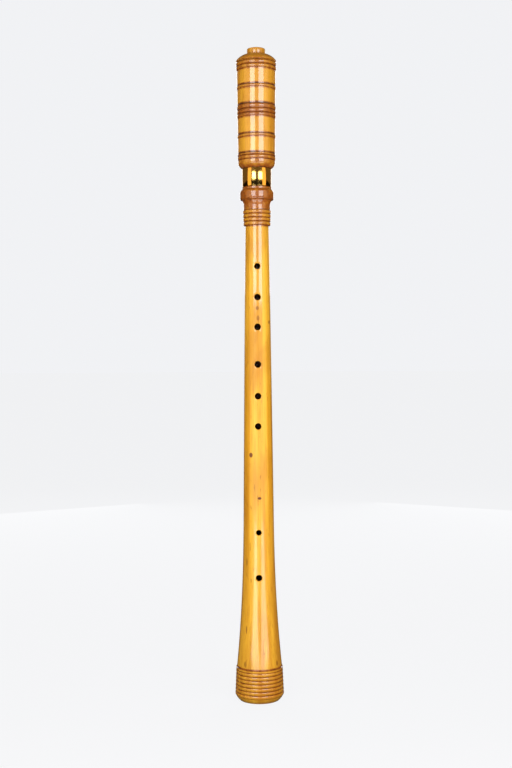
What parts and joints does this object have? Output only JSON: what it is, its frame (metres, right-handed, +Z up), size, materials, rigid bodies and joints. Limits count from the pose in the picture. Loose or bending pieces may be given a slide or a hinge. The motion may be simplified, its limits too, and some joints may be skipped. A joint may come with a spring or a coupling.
{
  "type": "rauschpfeife",
  "caption": "Turned wooden windcap reed pipe standing on its bell, with ringed windcap, brass ferrule, finger holes, and a double reed on a staple inside.",
  "frame": {"origin": "centre of the bell's foot, on the pipe's axis", "axes": "+Z up along the pipe's axis towards the blowing nozzle, finger holes facing -Y, +X to the viewer's right"},
  "size_m": [0.0448, 0.0448, 0.6],
  "materials": {
    "pipe_wood": "honey-coloured wood, clear gloss varnish",
    "windcap_wood": "honey-coloured wood, clear gloss varnish",
    "ferrule_brass": "polished",
    "staple_brass": "satin, lightly tarnished",
    "lapping_thread": "waxed linen thread",
    "reed_thread": "waxed nylon thread",
    "cork": "natural cork, matte",
    "cane": "scraped cane, matte"
  },
  "bodies": {
    "pipe": {"pipe_body": "pipe_wood", "tenon_lapping": "lapping_thread"},
    "windcap": {"windcap_barrel": "windcap_wood", "windcap_head": "windcap_wood", "windcap_ferrule": "ferrule_brass"},
    "reed": {"reed_staple": "staple_brass", "staple_cork": "cork", "reed_blade_front": "cane", "reed_blade_back": "cane", "reed_binding": "reed_thread", "reed_wire": "staple_brass"}
  },
  "joints": [
    {"name": "windcap_pull", "type": "slide", "parent": "pipe", "child": "windcap", "axis": [0, 0, 1], "range_m": [0, 0.12]},
    {"name": "reed_pull", "type": "slide", "parent": "pipe", "child": "reed", "axis": [0, 0, 1], "range_m": [0, 0.0165]}
  ]
}
